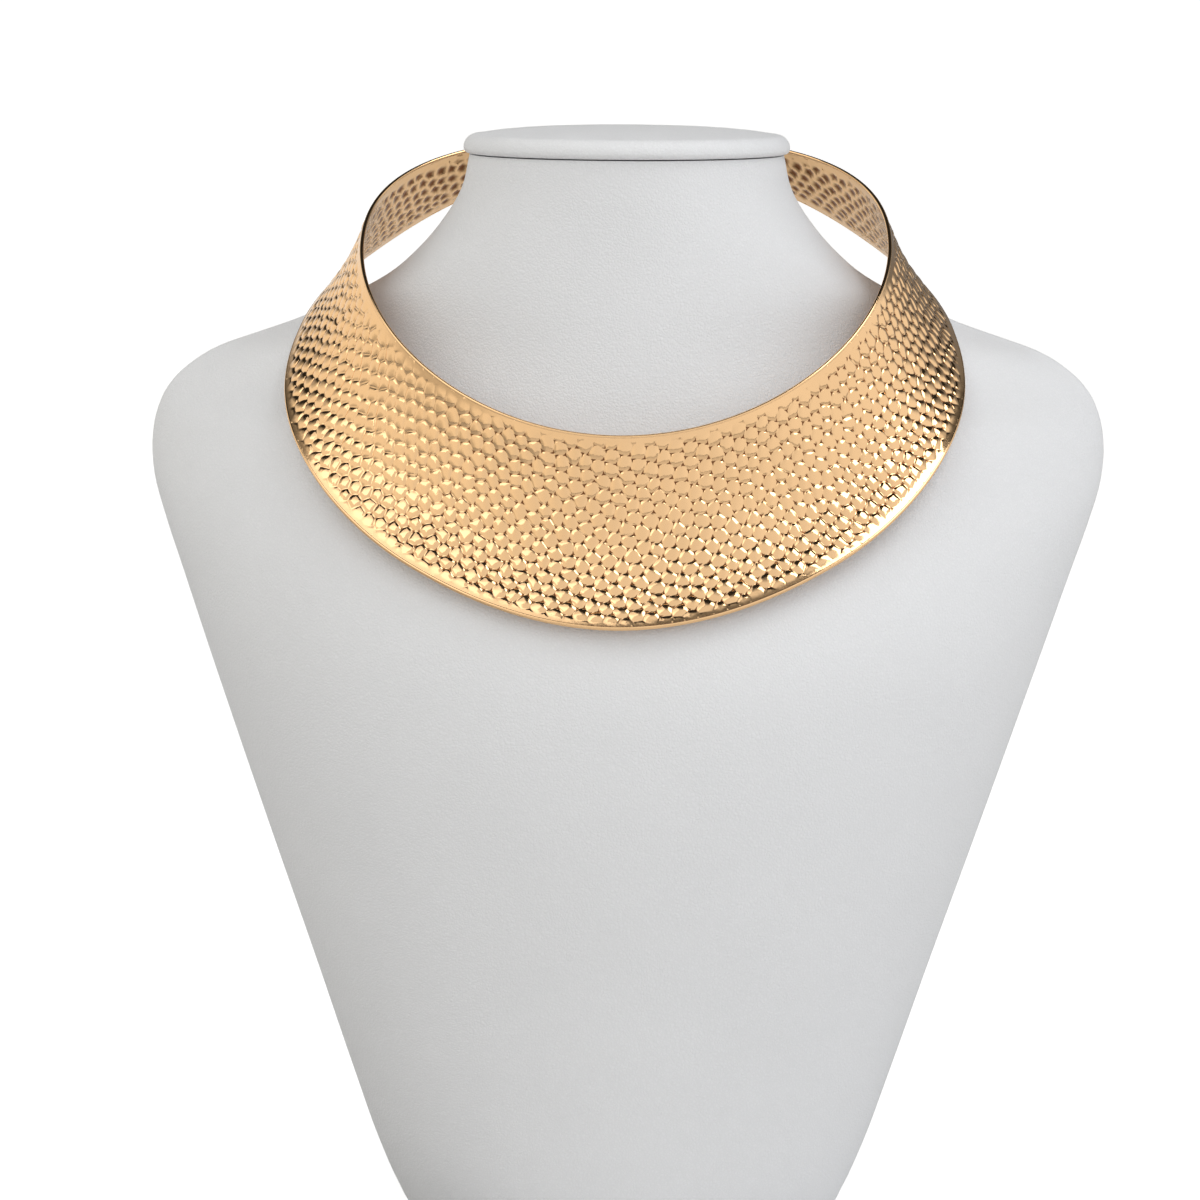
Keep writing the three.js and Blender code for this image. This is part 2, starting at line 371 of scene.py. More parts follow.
def detailed(ring):
    """The ring with two points added on each of its sides, close to its corners."""
    full = []
    for i, (key, place) in enumerate(ring):
        next_key, next_place = ring[(i + 1) % len(ring)]
        full.append((key, place))
        full.append((("m", key, next_key), place.lerp(next_place, PIT_SHARE)))
        full.append((("m", next_key, key), next_place.lerp(place, PIT_SHARE)))
    return full


def smooth_step(low, high, value):
    t = min(max((value - low) / (high - low), 0), 1)
    return t * t * (3 - 2 * t)


class Sheet:
    """Gathers the points and faces of both sides of the hammered sheet."""

    def __init__(self, collar, half_thickness):
        self.collar = collar
        self.half = half_thickness
        self.points = []
        self.painted_shades = []
        self.faces = []
        self.valleys = {}
        self.outline = {}

    def add(self, place, relief, side, painted_shade=0.0):
        """One point on the outer side, 1, or the inner side, -1. Returns its number."""
        along, across = self.collar.unflat(place)
        self.points.append(self.collar.place(along, across, side * self.half + relief))
        self.painted_shades.append(painted_shade)
        return len(self.points) - 1

    def valley(self, key, place, relief, painted_shade):
        """The outer and inner numbers of a point that neighbouring bumps share."""
        if key not in self.valleys:
            self.valleys[key] = (self.add(place, relief, 1, painted_shade), self.add(place, relief, -1))
        return self.valleys[key]

    def trace(self, loop):
        """Keeps the sides that only one bump has: they are the sheet's border."""
        for i, here in enumerate(loop):
            after = loop[(i + 1) % len(loop)]
            if (after, here) in self.outline:
                del self.outline[(after, here)]
            else:
                self.outline[(here, after)] = True

    def close(self):
        """Joins the two sides round the sheet's border."""
        for (a, inner_a), (b, inner_b) in self.outline:
            self.faces.append((b, a, inner_a, inner_b))


PIT_SHARE = 0.36  # how far along a side of a bump its pits reach
SIDE_VALLEY = 0.12  # the valley between two bumps, as a share of the depth of the pits
SMOOTH_MARGIN = (1.5, 3.4)  # the hammering fades out between these distances from the outline
OUTER_RINGS = ((0.84, 0.3), (0.45, 0.8))  # rings inside a bump: share of the way out, share of its height
INNER_RINGS = ((0.62, 0.6),)
PIT_SHADE_SPREAD = {"least": 0.25, "from": -75, "to": -20}  # the painted shade in the pits grows from the left end towards the front


def bump(sheet, centre, ring, height, pit, draw):
    """One bump: a low dome inside its ring of valleys, with a pit where three valleys meet."""
    collar = sheet.collar

    def strength(place):
        return smooth_step(*SMOOTH_MARGIN, collar.margin(*collar.unflat(place)))

    middle = centre
    if collar.margin(*collar.unflat(centre)) < BORDER + 0.3:
        middle = sum((place for _, place in ring), Vector((0, 0))) / len(ring)
    top = height * draw.uniform(0.65, 1.25)
    lean = Vector((draw.gauss(0, 0.02), draw.gauss(0, 0.02)))
    full = detailed(ring)
    # Painted shade in the pits: a quarter strength at the left end, full from near the front onwards.
    along = collar.unflat(middle)[0]
    least = PIT_SHADE_SPREAD["least"]
    pit_shade_share = least + (1 - least) * smooth_step(PIT_SHADE_SPREAD["from"], PIT_SHADE_SPREAD["to"], along)
    edge = []
    for key, place in full:
        corner = key[0] == "j"
        level = -pit if corner else -pit * SIDE_VALLEY
        fade = strength(place)
        edge.append(sheet.valley(key, place, level * fade, fade * pit_shade_share if corner else 0.0))
    sheet.trace(edge)
    count = len(full)
    for side, shares in ((1, OUTER_RINGS), (-1, INNER_RINGS)):
        wide = [pair[0] if side == 1 else pair[1] for pair in edge]
        for share, level in shares:
            narrow = []
            for key, place in full:
                inner = middle + (place - middle) * share
                tip = (inner - middle).dot(lean) * (1 - share)
                fade = strength(inner)
                # Painted shade on the inner side: its rings and hub are darkened, most at the hub, standing
                # in for the shade inside the collar.
                dark = 0.0 if side == 1 else 0.3 * fade
                narrow.append(sheet.add(inner, (top * level + tip) * fade, side, dark))
            for i in range(count):
                n = (i + 1) % count
                sheet.faces.append((wide[n], wide[i], narrow[i], narrow[n]))
            wide = narrow
        fade = strength(middle)
        hub = sheet.add(middle, top * fade, side, 0.0 if side == 1 else 0.7 * fade)
        sheet.faces += [(wide[(i + 1) % count], wide[i], hub) for i in range(count)]


def border_loop(collar, inset, step=1.1):
    """Places once round the sheet's outline, drawn in by inset, each with its way outwards."""
    reach = collar.half_length
    count = int(2 * reach / step)
    upper = [-reach + 2 * reach * i / count for i in range(count + 1)]
    ends = [1 - 0.5 ** (k / 2) for k in range(1, 12)]
    last = upper[-2]
    finer = [last + (reach - last) * e for e in ends]
    upper = [-f for f in reversed(finer)] + upper[1:-1] + finer
    loop = [(along, -collar.half_width(along)) for along in upper]
    loop += [(along, collar.half_width(along)) for along in reversed(upper)]
    flats = [collar.flat(*place) for place in loop]
    result = []
    for i, here in enumerate(flats):
        chord = flats[(i + 1) % len(flats)] - flats[i - 1]
        outward = Vector((chord.y, -chord.x)).normalized()
        along, across = collar.unflat(here + outward * 0.2)
        if collar.margin(along, across) > collar.margin(*collar.unflat(here)):
            outward = -outward
        result.append((here - outward * inset, outward))
    return result


def new_object(name, points, faces):
    mesh = bpy.data.meshes.new(name)
    mesh.from_pydata([tuple(p) for p in points], [], faces)
    mesh.validate()
    piece = bpy.data.objects.new(name, mesh)
    bpy.context.scene.collection.objects.link(piece)
    return piece


def select_only(piece):
    bpy.ops.object.select_all(action="DESELECT")
    piece.select_set(True)
    bpy.context.view_layer.objects.active = piece


def tidy_mesh(piece, angle=None):
    """Merges doubles, turns the faces outwards and shades them smooth."""
    select_only(piece)
    bpy.ops.object.mode_set(mode="EDIT")
    bpy.ops.mesh.select_all(action="SELECT")
    bpy.ops.mesh.remove_doubles(threshold=2e-6)
    bpy.ops.mesh.normals_make_consistent(inside=False)
    bpy.ops.object.mode_set(mode="OBJECT")
    if angle is None:
        bpy.ops.object.shade_smooth()
    else:
        bpy.ops.object.shade_smooth_by_angle(angle=math.radians(angle))


def finish_piece(piece, material, slot, *nodes):
    piece.data.materials.clear()
    piece.data.materials.append(material)
    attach(piece, "root")
    if nodes:
        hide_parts(*nodes)


# ---------------------------------------------------------------- materials


def node_group(name, inputs, outputs):
    """A shader node group with its sockets: each a name, a kind and, for inputs, a value."""
    group = bpy.data.node_groups.new(name, "ShaderNodeTree")
    for label, kind, value in inputs:
        socket = group.interface.new_socket(label, in_out="INPUT", socket_type=kind)
        if value is not None:
            socket.default_value = value
    for label, kind in outputs:
        group.interface.new_socket(label, in_out="OUTPUT", socket_type=kind)
    start = group.nodes.new("NodeGroupInput")
    end = group.nodes.new("NodeGroupOutput")
    return group, start, end


def add_node(tree, kind, links, wires=(), **settings):
    """Adds a node, sets its properties, fills its inputs and wires them up."""
    node = tree.nodes.new(kind)
    for name, value in settings.items():
        setattr(node, name, value)
    for socket, value in links.items():
        node.inputs[socket].default_value = value
    for socket, source in wires:
        tree.links.new(source, node.inputs[socket])
    return node


def mottle_group():
    """Soft patches: a mask that wanders between 0 and 1 over the surface."""
    group, start, end = node_group(
        "soft_patches",
        [
            ("Scale", "NodeSocketFloat", 40.0),
            ("Low", "NodeSocketFloat", 0.0),
            ("High", "NodeSocketFloat", 1.0),
        ],
        [("Mask", "NodeSocketFloat")],
    )
    place = add_node(group, "ShaderNodeTexCoord", {})
    noise = add_node(
        group,
        "ShaderNodeTexNoise",
        {"Detail": 3.0, "Roughness": 0.55},
        [("Vector", place.outputs["Object"]), ("Scale", start.outputs["Scale"])],
    )
    spread = add_node(
        group,
        "ShaderNodeMapRange",
        {"From Min": 0.3, "From Max": 0.7},
        [
            ("Value", noise.outputs["Fac"]),
            ("To Min", start.outputs["Low"]),
            ("To Max", start.outputs["High"]),
        ],
    )
    group.links.new(spread.outputs["Result"], end.inputs["Mask"])
    return group


def leather_grain_group():
    """Leatherette grain: small pebbles between fine creases, as a height and a crease mask."""
    group, start, end = node_group(
        "leather_grain",
        [("Pebble Scale", "NodeSocketFloat", 1500.0), ("Crease Scale", "NodeSocketFloat", 1350.0)],
        [("Height", "NodeSocketFloat"), ("Creases", "NodeSocketFloat")],
    )
    place = add_node(group, "ShaderNodeTexCoord", {})
    wander = add_node(
        group, "ShaderNodeTexNoise", {"Scale": 300.0, "Detail": 2.0}, [("Vector", place.outputs["Object"])]
    )
    drift = add_node(
        group,
        "ShaderNodeVectorMath",
        {"Scale": 0.0008},
        [(0, wander.outputs["Color"])],
        operation="SCALE",
    )
    moved = add_node(
        group,
        "ShaderNodeVectorMath",
        {},
        [(0, place.outputs["Object"]), (1, drift.outputs["Vector"])],
        operation="ADD",
    )
    pebbles = add_node(
        group,
        "ShaderNodeTexVoronoi",
        {"Randomness": 1.0},
        [("Vector", moved.outputs["Vector"]), ("Scale", start.outputs["Pebble Scale"])],
        feature="SMOOTH_F1",
    )
    creases = add_node(
        group,
        "ShaderNodeTexVoronoi",
        {"Randomness": 1.0},
        [("Vector", moved.outputs["Vector"]), ("Scale", start.outputs["Crease Scale"])],
        feature="DISTANCE_TO_EDGE",
    )
    crease = add_node(
        group,
        "ShaderNodeMapRange",
        {"From Min": 0.0, "From Max": 0.26, "To Min": 1.0, "To Max": 0.0},
        [("Value", creases.outputs["Distance"])],
    )
    dome = add_node(
        group, "ShaderNodeMath", {1: -0.6}, [(0, pebbles.outputs["Distance"])], operation="MULTIPLY"
    )
    height = add_node(
        group,
        "ShaderNodeMath",
        {1: -0.35},
        [(0, crease.outputs["Result"]), (2, dome.outputs["Value"])],
        operation="MULTIPLY_ADD",
    )
    group.links.new(height.outputs["Value"], end.inputs["Height"])
    group.links.new(crease.outputs["Result"], end.inputs["Creases"])
    return group


def place_group(tree, group, values=None):
    node = tree.nodes.new("ShaderNodeGroup")
    node.node_tree = group
    for socket, value in (values or {}).items():
        node.inputs[socket].default_value = value
    return node


def blank_material(name):
    material = bpy.data.materials.new(name)
    material.use_nodes = True
    tree = material.node_tree
    return material, tree, tree.nodes["Principled BSDF"]


def mixed_colour(tree, factor, low, high):
    mix = add_node(tree, "ShaderNodeMix", {}, [("Factor", factor)], data_type="RGBA")
    mix.inputs["A"].default_value = (*low, 1)
    mix.inputs["B"].default_value = (*high, 1)
    return mix.outputs["Result"]


def gold_material(colour, roughness, patches):
    """Polished gold plating with faint cloudy patches, a faint burnish, and painted shade in the pits between
    the bumps and on the sheet's inner side.
    """
    material, tree, shader = blank_material(GOLD)
    shader.inputs["Metallic"].default_value = 1
    clouds = place_group(tree, patches, {"Scale": 55.0})
    low = tuple(c * 0.95 for c in colour)
    plating = mixed_colour(tree, clouds.outputs["Mask"], low, colour)
    # Painted shade: where a point's shade share is high, the plating is drawn towards a dark brown, darkening
    # the pits and the inner side.
    painted_shade = add_node(tree, "ShaderNodeAttribute", {}, attribute_name="painted_shade")
    shade = add_node(
        tree,
        "ShaderNodeMapRange",
        {"From Min": 0.05, "From Max": 0.55},
        [("Value", painted_shade.outputs["Fac"])],
        interpolation_type="SMOOTHSTEP",
    )
    shaded_plating = add_node(
        tree,
        "ShaderNodeMix",
        {},
        [("Factor", shade.outputs["Result"]), ("A", plating)],
        data_type="RGBA",
    )
    shaded_plating.inputs["B"].default_value = (colour[0] * 0.2, colour[1] * 0.12, colour[2] * 0.08, 1)
    tree.links.new(shaded_plating.outputs["Result"], shader.inputs["Base Color"])
    burnish = place_group(tree, patches, {"Scale": 210.0, "Low": roughness * 0.7, "High": roughness * 1.35})
    tree.links.new(burnish.outputs["Mask"], shader.inputs["Roughness"])
    ripple = place_group(tree, patches, {"Scale": 420.0})
    bump = add_node(
        tree,
        "ShaderNodeBump",
        {"Strength": 0.05, "Distance": 0.0002},
        [("Height", ripple.outputs["Mask"])],
    )
    tree.links.new(bump.outputs["Normal"], shader.inputs["Normal"])
    return material


def leatherette_material(colour, grain, patches):
    """Matt off-white leatherette with a fine pebble grain and painted shade along its creases."""
    material, tree, shader = blank_material(LEATHERETTE)
    shader.inputs["Specular IOR Level"].default_value = 0.35
    leather = place_group(tree, grain)
    clouds = place_group(tree, patches, {"Scale": 30.0})
    low = tuple(c * 0.975 for c in colour)
    plain = mixed_colour(tree, clouds.outputs["Mask"], low, colour)
    # Painted shade in the creases: the colour is drawn a little darker along them.
    tint = add_node(tree, "ShaderNodeMix", {}, [("A", plain)], data_type="RGBA")
    tint.inputs["B"].default_value = (*(c * 0.86 for c in colour), 1)
    share = add_node(
        tree, "ShaderNodeMath", {1: 0.25}, [(0, leather.outputs["Creases"])], operation="MULTIPLY"
    )
    tree.links.new(share.outputs["Value"], tint.inputs["Factor"])
    tree.links.new(tint.outputs["Result"], shader.inputs["Base Color"])
    sheen = place_group(tree, patches, {"Scale": 160.0, "Low": 0.5, "High": 0.66})
    tree.links.new(sheen.outputs["Mask"], shader.inputs["Roughness"])
    bump = add_node(
        tree,
        "ShaderNodeBump",
        {"Strength": 1.0, "Distance": 0.00012},
        [("Height", leather.outputs["Height"])],
    )
    tree.links.new(bump.outputs["Normal"], shader.inputs["Normal"])
    return material


# ---------------------------------------------------------------- settings


class CollarSettings(bpy.types.PropertyGroup):
    mark_size: FloatProperty(
        name="Bump size", description="Distance between the hammered bumps", default=3.3 * MM, unit="LENGTH"
    )
    mark_height: FloatProperty(
        name="Bump height", description="Height of a bump's top", default=0.27 * MM, unit="LENGTH"
    )
    pit_depth: FloatProperty(
        name="Pit depth", description="Depth of the pits between bumps", default=0.24 * MM, unit="LENGTH"
    )
    unevenness: FloatProperty(
        name="Unevenness", description="How far the marks stray, as a share of their size", default=0.19
    )
    seed: IntProperty(name="Seed", description="Start of the random draw of the marks", default=7)
    bead: FloatProperty(
        name="Bead", description="Thickness of the bead along the edges", default=1.0 * MM, unit="LENGTH"
    )
    colour: FloatVectorProperty(
        name="Gold",
        description="Colour of the plating",
        default=(0.95, 0.615, 0.325),
        size=3,
        subtype="COLOR",
    )
    roughness: FloatProperty(name="Roughness", description="Roughness of the plating", default=0.1)


class BustSettings(bpy.types.PropertyGroup):
    colour: FloatVectorProperty(
        name="Leatherette",
        description="Colour of the cover",
        default=(0.87, 0.88, 0.9),
        size=3,
        subtype="COLOR",
    )
    segments: IntProperty(name="Segments", description="Sides of each ring of the bust", default=144)
    cap_height: FloatProperty(
        name="Cap height",
        description="Height of the cap",
        default=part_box("neck_cap")[1][2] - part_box("neck_cap")[0][2],
        unit="LENGTH",
    )


class StudioSettings(bpy.types.PropertyGroup):
    key: FloatProperty(
        name="Key light", description="Power of the soft light at the right", default=5.6, unit="POWER"
    )
    fill: FloatProperty(
        name="Fill light", description="Power of the soft light at the left", default=6.5, unit="POWER"
    )
    surround: FloatProperty(name="Surround", description="Brightness of the studio's walls", default=0.9)


# ---------------------------------------------------------------- operators


class COLLAR_OT_sheet(bpy.types.Operator):
    """Models the hammered sheet of the collar, both sides"""

    bl_idname = "collar.sheet"
    bl_label = "Hammered sheet"

    def execute(self, context):
        settings = context.scene.collar_settings
        collar = Collar()
        sheet = Sheet(collar, SHEET_HALF)
        size = settings.mark_size / MM
        centres = hammer_centres(collar, size, settings.unevenness, settings.seed)
        draw = random.Random(settings.seed + 1)
        for centre, ring in hammer_cells(centres):
            kept = trimmed(collar, ring)
            if kept:
                bump(sheet, centre, kept, settings.mark_height / MM, settings.pit_depth / MM, draw)
        sheet.close()
        piece = new_object("hammered_sheet", sheet.points, sheet.faces)
        # Each point's share of painted shade goes to the gold as an attribute.
        painted_shade = piece.data.attributes.new("painted_shade", "FLOAT", "POINT")
        painted_shade.data.foreach_set("value", sheet.painted_shades)
        tidy_mesh(piece)
        finish_piece(piece, bpy.data.materials[GOLD], "gold", "collar")
        return {"FINISHED"}


BEAD_SIDES = 12


class COLLAR_OT_rims(bpy.types.Operator):
    """Models the smooth bead that runs once round the sheet's outline"""

    bl_idname = "collar.rims"
    bl_label = "Edge bead"

    def execute(self, context):
        settings = context.scene.collar_settings
        collar = Collar()
        half = settings.bead / MM / 2
        loop = border_loop(collar, half)
        points, faces = [], []
        for place, outward in loop:
            for k in range(BEAD_SIDES):
                turn = 2 * math.pi * k / BEAD_SIDES
                at = place + outward * (half * math.cos(turn))
                along, across = collar.unflat(at)
                points.append(collar.place(along, across, half * math.sin(turn)))
        for i in range(len(loop)):
            n = (i + 1) % len(loop)
            here, there = i * BEAD_SIDES, n * BEAD_SIDES
            for k in range(BEAD_SIDES):
                m = (k + 1) % BEAD_SIDES
                faces.append((here + k, there + k, there + m, here + m))
        piece = new_object("edge_bead", points, faces)
        tidy_mesh(piece)
        finish_piece(piece, bpy.data.materials[GOLD], "gold")
        return {"FINISHED"}


def bust_level(z):
    return {column: between(BUST_ROWS, "z", column, z) for column in BUST_COLUMNS[1:]}


def level_point(level, turn, z):
    facing = math.cos(turn)
    power = level["tip"] if facing > 0 else level["flat"]
    share = (1 - SIDE_ROUND) * abs(facing) ** power + SIDE_ROUND * abs(facing)
    reach = level["front"] - level["middle"] if facing > 0 else level["back"] - level["middle"]
    return Vector((level["half"] * math.sin(turn), level["middle"] + reach * share, z)) * MM


SOFT_REACH = 11  # millimetres over which the neck's foot is softened, up and down
SOFT_START = (184, 204)  # heights over which the softening sets in
SOFT_STOP = (222, 240)  # heights over which it dies out
SOFT_STEPS = 6  # levels read above and below a point


def softened_point(turn, z):
    """A point of the bust with the fold between neck and shoulders drawn out over a few millimetres."""
    level = bust_level(z)
    point = level_point(level, turn, z)
    reach = SOFT_REACH * smooth_step(*SOFT_START, z) * (1 - smooth_step(*SOFT_STOP, z))
    if reach < 0.5:
        return point
    x = level["half"] * math.sin(turn)
    total = weights = 0.0
    for k in range(-SOFT_STEPS, SOFT_STEPS + 1):
        near = z + reach * k / SOFT_STEPS
        other = bust_level(near)
        room = 1 - abs(x) / other["half"]
        if room <= 0.002:
            continue
        side = math.asin(x / other["half"])
        other_turn = side if math.cos(turn) > 0 else math.pi - side
        weight = (1 + math.cos(math.pi * k / (SOFT_STEPS + 1))) * smooth_step(0, 0.35, room)
        total += weight * level_point(other, other_turn, near).y
        weights += weight
    if weights:
        share = smooth_step(0.15, 0.75, abs(math.cos(turn)))
        point.y += (total / weights - point.y) * share
    return point


class BUST_OT_body(bpy.types.Operator):
    """Models the leatherette neck bust from a cylinder, cut into levels that are each drawn to shape"""

    bl_idname = "bust.body"
    bl_label = "Bust"

    def execute(self, context):
        settings = context.scene.bust_settings
        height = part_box("bust_body")[1][2]
        bpy.ops.object.select_all(action="DESELECT")
        bpy.ops.mesh.primitive_cylinder_add(
            vertices=settings.segments, radius=0.05, depth=height, location=(0, 0, height / 2)
        )
        piece = context.active_object
        piece.name = piece.data.name = "bust_cover"
        bpy.ops.object.transform_apply(location=True, rotation=True, scale=True)
        bpy.ops.object.mode_set(mode="EDIT")
        for z in bust_cuts(height):
            bpy.ops.mesh.select_all(action="SELECT")
            bpy.ops.mesh.bisect(plane_co=(0, 0, z), plane_no=(0, 0, 1))
        bpy.ops.object.mode_set(mode="OBJECT")
        for vertex in piece.data.vertices:
            turn = math.atan2(vertex.co.x, -vertex.co.y)
            vertex.co = softened_point(turn, vertex.co.z / MM)
        dish_ends(piece)
        tidy_mesh(piece, 40)
        finish_piece(piece, bpy.data.materials[LEATHERETTE], "leatherette", "bust_body")
        return {"FINISHED"}


def bust_cuts(height):
    """Heights of the cuts, closer together where the shape turns fast."""
    cuts = []
    for low, high in zip(BUST_ROWS, BUST_ROWS[1:]):
        parts = 2 if high["z"] - low["z"] < 3.2 else 4
        cuts += [(low["z"] + (high["z"] - low["z"]) * k / parts) * MM for k in range(parts)]
    return [z for z in cuts[1:] if 0 < z < height - 1e-5]


def dish_ends(piece):
    """Insets the foot's flat face and the neck's top, so that both keep a neat edge."""
    select_only(piece)
    bpy.ops.object.mode_set(mode="EDIT")
    bpy.ops.mesh.select_mode(type="FACE")
    bpy.ops.mesh.select_all(action="DESELECT")
    bpy.ops.object.mode_set(mode="OBJECT")
    for face in piece.data.polygons:
        face.select = len(face.vertices) > 4
    bpy.ops.object.mode_set(mode="EDIT")
    bpy.ops.mesh.inset(thickness=0.0006, use_individual=True)
    bpy.ops.mesh.inset(thickness=0.006, use_individual=True)
    bpy.ops.object.mode_set(mode="OBJECT")


class BUST_OT_cap(bpy.types.Operator):
    """Models the cap of the neck from a disc with rounded edges and a low crown"""

    bl_idname = "bust.cap"
    bl_label = "Neck cap"

    def execute(self, context):
        low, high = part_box("neck_cap")
        middle, size = (low + high) / 2, high - low
        thick = size.z * 0.72
        bpy.ops.object.select_all(action="DESELECT")
        bpy.ops.mesh.primitive_cylinder_add(
            vertices=128, radius=0.5, depth=thick, location=(middle.x, middle.y, low.z + thick / 2)
        )
        piece = context.active_object
        piece.name = piece.data.name = "cap_pad"
        bpy.ops.transform.resize(value=(size.x, size.y, 1))
        bpy.ops.object.transform_apply(location=True, rotation=True, scale=True)
        round_cap(piece, low.z, thick)
        crown_cap(piece, high.z)
        tidy_mesh(piece, 50)
        finish_piece(piece, bpy.data.materials[LEATHERETTE], "leatherette", "neck_cap")
        return {"FINISHED"}


def select_edges(piece, test):
    """Selects, in edit mode, the edges whose two ends pass the test."""
    select_only(piece)
    bpy.ops.object.mode_set(mode="EDIT")
    bpy.ops.mesh.select_mode(type="EDGE")
    bpy.ops.mesh.select_all(action="DESELECT")
    bpy.ops.object.mode_set(mode="OBJECT")
    for edge in piece.data.edges:
        edge.select = all(test(piece.data.vertices[v].co) for v in edge.vertices)
    bpy.ops.object.mode_set(mode="EDIT")


def round_cap(piece, floor, thick):
    """Rounds the cap's lower edge a little and its upper edge fully."""
    select_edges(piece, lambda co: abs(co.z - floor) < 1e-5)
    bpy.ops.mesh.bevel(offset=0.0012, segments=4, affect="EDGES")
    bpy.ops.object.mode_set(mode="OBJECT")
    select_edges(piece, lambda co: abs(co.z - floor - thick) < 1e-5)
    bpy.ops.mesh.bevel(offset=0.0031, segments=8, affect="EDGES")
    bpy.ops.object.mode_set(mode="OBJECT")


CROWN_INSET = 0.0042
CROWN_LIFTS = (0.36, 0.24, 0.16, 0.1, 0.07, 0.05, 0.02)  # shares of the crown's rise, ring by ring


def crown_cap(piece, top):
    """Insets the cap's top face in rings and lifts each ring, for a low crown."""
    highest = max(v.co.z for v in piece.data.vertices)
    bpy.ops.object.mode_set(mode="EDIT")
    bpy.ops.mesh.select_mode(type="FACE")
    bpy.ops.mesh.select_all(action="DESELECT")
    bpy.ops.object.mode_set(mode="OBJECT")
    for face in piece.data.polygons:
        face.select = face.normal.z > 0.99 and len(face.vertices) > 8
    bpy.ops.object.mode_set(mode="EDIT")
    rise = top - highest
    for share in CROWN_LIFTS:
        bpy.ops.mesh.inset(thickness=CROWN_INSET)
        bpy.ops.transform.translate(value=(0, 0, rise * share))
    bpy.ops.object.mode_set(mode="OBJECT")


class COLLAR_OT_finishes(bpy.types.Operator):
    """Makes the gold and the leatherette"""

    bl_idname = "collar.finishes"
    bl_label = "Finishes"

    def execute(self, context):
        patches, grain = mottle_group(), leather_grain_group()
        gold = context.scene.collar_settings
        gold_material(tuple(gold.colour), gold.roughness, patches)
        leatherette_material(tuple(context.scene.bust_settings.colour), grain, patches)
        return {"FINISHED"}


def soft_light(name, place, target, size, power):
    """A rectangular soft box that faces the target."""
    data = bpy.data.lights.new(name, "AREA")
    data.shape = "RECTANGLE"
    data.size, data.size_y = size
    data.energy = power
    light = bpy.data.objects.new(name, data)
    bpy.context.scene.collection.objects.link(light)
    light.location = place
    light.rotation_mode = "QUATERNION"
    light.rotation_quaternion = (Vector(target) - Vector(place)).to_track_quat("-Z", "Y")


def facing(azimuth, elevation):
    """A direction by its turn to the right of the front and its height over the horizon, in degrees."""
    turn, rise = math.radians(azimuth), math.radians(elevation)
    flat = math.cos(rise)
    return Vector((math.sin(turn) * flat, -math.cos(turn) * flat, math.sin(rise)))


def dimmed(tree, direction, level, middle, reach, soft, dim):
    """Draws the level towards dim inside a round patch of the given reach and soft edge, in degrees."""
    near = add_node(
        tree, "ShaderNodeVectorMath", {1: middle}, [(0, direction)], operation="DOT_PRODUCT"
    )
    edge = math.cos(math.radians(reach + soft))
    core = math.cos(math.radians(reach))
    mask = add_node(
        tree,
        "ShaderNodeMapRange",
        {"From Min": edge, "From Max": core},
        [("Value", near.outputs["Value"])],
        interpolation_type="SMOOTHSTEP",
    )
    mix = add_node(tree, "ShaderNodeMix", {"B": dim}, [("Factor", mask.outputs["Result"]), ("A", level)])
    return mix.outputs["Result"]


# The studio's darker places: the middle of each, its reach and soft edge, and its level.
DARK_PLACES = (
    (facing(180, 60), 36, 22, 0.02),
    (facing(-72, -12), 16, 24, 0.6),
    (facing(155, 5), 18, 20, 0.2),
)


def studio_world(surround):
    """A pale room, warmer on the left, with darker places behind and low on the left."""
    world = bpy.data.worlds.new("studio")
    bpy.context.scene.world = world
    world.use_nodes = True
    tree = world.node_tree
    tree.nodes.clear()
    place = add_node(tree, "ShaderNodeTexCoord", {})
    direction = place.outputs["Generated"]
    parts = add_node(tree, "ShaderNodeSeparateXYZ", {}, [(0, direction)])
    sideways = add_node(tree, "ShaderNodeMath", {}, [(0, parts.outputs["X"])], operation="ABSOLUTE")
    sides = add_node(
        tree,
        "ShaderNodeMapRange",
        {"From Min": 0.1, "From Max": 0.8, "To Min": surround * 0.97, "To Max": surround * 1.08},
        [("Value", sideways.outputs["Value"])],
        interpolation_type="SMOOTHSTEP",
    )
    level = sides.outputs["Result"]
    for middle, reach, soft, dim in DARK_PLACES:
        level = dimmed(tree, direction, level, middle, reach, soft, dim)
    warm = add_node(
        tree,
        "ShaderNodeMapRange",
        {"From Min": -0.8, "From Max": 0.1, "To Min": 0.0, "To Max": 1.0},
        [("Value", parts.outputs["X"])],
    )
    tint = mixed_colour(tree, warm.outputs["Result"], (1.0, 0.965, 0.89), (1.0, 1.0, 1.0))
    room = add_node(tree, "ShaderNodeBackground", {}, [("Strength", level), ("Color", tint)])
    backdrop = add_node(tree, "ShaderNodeBackground", {"Color": (1, 1, 1, 1), "Strength": 1.05})
    eye = add_node(tree, "ShaderNodeLightPath", {})
    mix = add_node(
        tree,
        "ShaderNodeMixShader",
        {},
        [(0, eye.outputs["Is Camera Ray"]), (1, room.outputs[0]), (2, backdrop.outputs[0])],
    )
    end = tree.nodes.new("ShaderNodeOutputWorld")
    tree.links.new(mix.outputs[0], end.inputs["Surface"])


